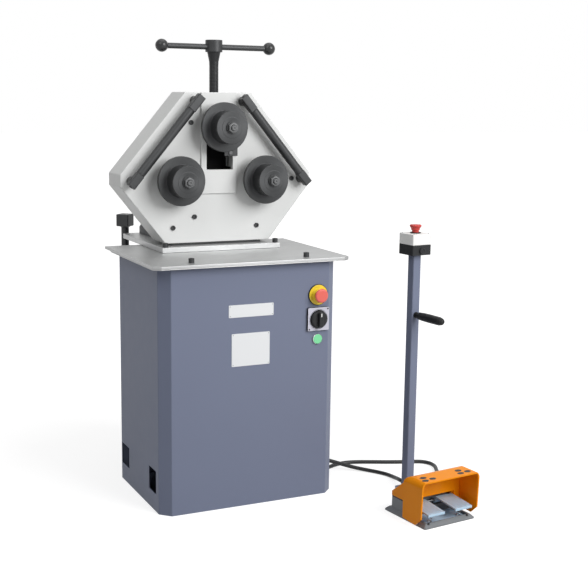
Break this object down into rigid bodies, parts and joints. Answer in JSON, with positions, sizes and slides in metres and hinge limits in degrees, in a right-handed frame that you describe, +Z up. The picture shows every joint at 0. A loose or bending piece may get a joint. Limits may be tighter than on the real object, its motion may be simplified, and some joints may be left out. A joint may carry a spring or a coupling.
{
  "type": "ring roller",
  "caption": "Three-roll ring bending machine: tilting roll head with T-handle feed on a sheet-metal cabinet, with a guarded foot switch and a station post.",
  "frame": {"origin": "centre of the cabinet's flat underside, on the floor", "axes": "+Z up, -Y towards the operator at the front where the rollers and buttons are, +X to the right seen from the front, towards the foot switch"},
  "size_m": [0.9571, 1.014, 1.2968],
  "materials": {
    "cabinet_paint": "blue-grey powder coat, fine texture",
    "casing_paint": "pale grey enamel, satin",
    "table_paint": "silver-grey hammered enamel",
    "drive_paint": "dark grey enamel",
    "orange_paint": "orange enamel on a casting",
    "black_oxide": "black oxide, oiled",
    "roll_steel": "hardened roll steel, turned, dark",
    "bright_steel": "machined steel",
    "spring_steel": "zinc-plated spring wire",
    "zinc_plate": "zinc-plated sheet",
    "cast_aluminium": "die cast, satin",
    "bronze": "machined bronze",
    "chrome_ring": "polished ring",
    "black_plastic": "moulded, matte",
    "ball_plastic": "moulded ball knob, satin gloss",
    "grip_plastic": "moulded handle, glossy",
    "white_plastic": "moulded, satin",
    "red_plastic": "moulded, satin",
    "yellow_plastic": "moulded, satin",
    "green_plastic": "moulded, translucent look",
    "cable_rubber": "black sheath, slightly ribbed"
  },
  "bodies": {
    "root": {"cabinet_body": "cabinet_paint", "cabinet_back": "cabinet_paint", "table_plate": "table_paint", "electrical_panel": "zinc_plate", "estop_collar": "yellow_plastic", "switch_plate": "black_plastic", "start_bezel": "chrome_ring", "cable_glands": "black_plastic", "hinge_fixed_leaf": "black_oxide", "hinge_pin": "bright_steel", "rest_post_left": "black_oxide", "rest_post_right": "black_oxide", "foot_base": "cast_aluminium", "foot_guard": "orange_paint", "pedal_shaft": "bright_steel", "pedal_spring_left": "spring_steel", "pedal_spring_right": "spring_steel", "stand_plate": "cabinet_paint", "post": "cabinet_paint", "post_grip": "grip_plastic", "station_base": "black_plastic", "station_lid": "white_plastic", "cord_a": "cable_rubber", "cord_b": "cable_rubber"},
    "head": {"head_base_plate": "table_paint", "rear_bracket": "drive_paint", "hinge_moving_leaf": "black_oxide", "head_casing": "casing_paint", "head_back_plate": "casing_paint", "slide_cover": "casing_paint", "feed_nut": "bronze", "gearbox": "drive_paint", "motor": "drive_paint", "left_guide_frame": "black_oxide", "right_guide_frame": "black_oxide"},
    "slide": {"slide_block": "black_oxide"},
    "screw": {"feed_screw": "black_oxide", "handle_bar": "black_oxide", "handle_ball_left": "ball_plastic", "handle_ball_right": "ball_plastic"},
    "top_roll": {"top_shaft": "black_oxide", "top_roller": "roll_steel", "top_nut": "black_oxide"},
    "left_roll": {"left_shaft": "black_oxide", "left_roller": "roll_steel", "left_nut": "black_oxide", "left_gear": "bright_steel"},
    "right_roll": {"right_shaft": "black_oxide", "right_roller": "roll_steel", "right_nut": "black_oxide", "right_gear": "bright_steel"},
    "pinion": {"drive_pinion": "bright_steel"},
    "left_sleeve": {"left_guide_sleeve": "black_oxide"},
    "right_sleeve": {"right_guide_sleeve": "black_oxide"},
    "estop": {"estop_button": "red_plastic"},
    "selector": {"switch_knob": "black_plastic"},
    "start": {"start_button": "green_plastic"},
    "station_stop": {"station_button": "red_plastic"},
    "left_pedal": {"pedal_left": "cast_aluminium"},
    "right_pedal": {"pedal_right": "cast_aluminium"}
  },
  "joints": [
    {"name": "head_tilt", "type": "hinge", "parent": "root", "child": "head", "pos_m": [0, 0.261, 0.686], "axis": [-1, 0, 0], "range_deg": [0, 90]},
    {"name": "slide_feed", "type": "slide", "parent": "head", "child": "slide", "axis": [0, 0, -1], "range_m": [0, 0.07]},
    {"name": "screw_turn", "type": "hinge", "parent": "slide", "child": "screw", "pos_m": [0, 0.103, 1.15], "axis": [0, 0, -1], "range_deg": [0, 6300]},
    {"name": "top_roll_spin", "type": "hinge", "parent": "slide", "child": "top_roll", "pos_m": [0, 0, 1.052], "axis": [0, 1, 0], "continuous": true},
    {"name": "left_roll_spin", "type": "hinge", "parent": "head", "child": "left_roll", "pos_m": [-0.13, 0, 0.9015], "axis": [0, 1, 0], "continuous": true},
    {"name": "right_roll_spin", "type": "hinge", "parent": "head", "child": "right_roll", "pos_m": [0.13, 0, 0.9015], "axis": [0, 1, 0], "continuous": true},
    {"name": "pinion_spin", "type": "hinge", "parent": "head", "child": "pinion", "pos_m": [0, 0, 0.87861], "axis": [0, 1, 0], "continuous": true},
    {"name": "left_sleeve_spin", "type": "hinge", "parent": "head", "child": "left_sleeve", "pos_m": [-0.0673, 0.036, 1.1335], "axis": [-0.6424, 0, -0.7664], "continuous": true},
    {"name": "right_sleeve_spin", "type": "hinge", "parent": "head", "child": "right_sleeve", "pos_m": [0.0673, 0.036, 1.1335], "axis": [0.6424, 0, -0.7664], "continuous": true},
    {"name": "estop_push", "type": "slide", "parent": "root", "child": "estop", "axis": [0, 1, 0], "range_m": [0, 0.005]},
    {"name": "selector_turn", "type": "hinge", "parent": "root", "child": "selector", "pos_m": [0.201, -0.185, 0.522], "axis": [0, 1, 0], "range_deg": [-60, 60]},
    {"name": "start_push", "type": "slide", "parent": "root", "child": "start", "axis": [0, 1, 0], "range_m": [0, 0.003], "stiffness_N_per_m": 300, "springref_m": -0.003},
    {"name": "station_stop_push", "type": "slide", "parent": "root", "child": "station_stop", "axis": [0, 0, -1], "range_m": [0, 0.005]},
    {"name": "left_pedal_press", "type": "hinge", "parent": "root", "child": "left_pedal", "pos_m": [0.37662, -0.45249, 0.036], "axis": [0.9934, 0.1149, 0], "range_deg": [0, 10], "stiffness_Nm_per_rad": 4, "springref_deg": -11.46, "deforming": ["pedal_spring_left"]},
    {"name": "right_pedal_press", "type": "hinge", "parent": "root", "child": "right_pedal", "pos_m": [0.47148, -0.44151, 0.036], "axis": [0.9934, 0.1149, 0], "range_deg": [0, 10], "stiffness_Nm_per_rad": 4, "springref_deg": -11.46, "deforming": ["pedal_spring_right"]}
  ],
  "couplings": [
    {"joint": "slide_feed", "follows": "screw_turn", "m_per_rad": 0.00063662},
    {"joint": "right_roll_spin", "follows": "left_roll_spin", "ratio": 1},
    {"joint": "pinion_spin", "follows": "left_roll_spin", "ratio": -1.5385}
  ]
}
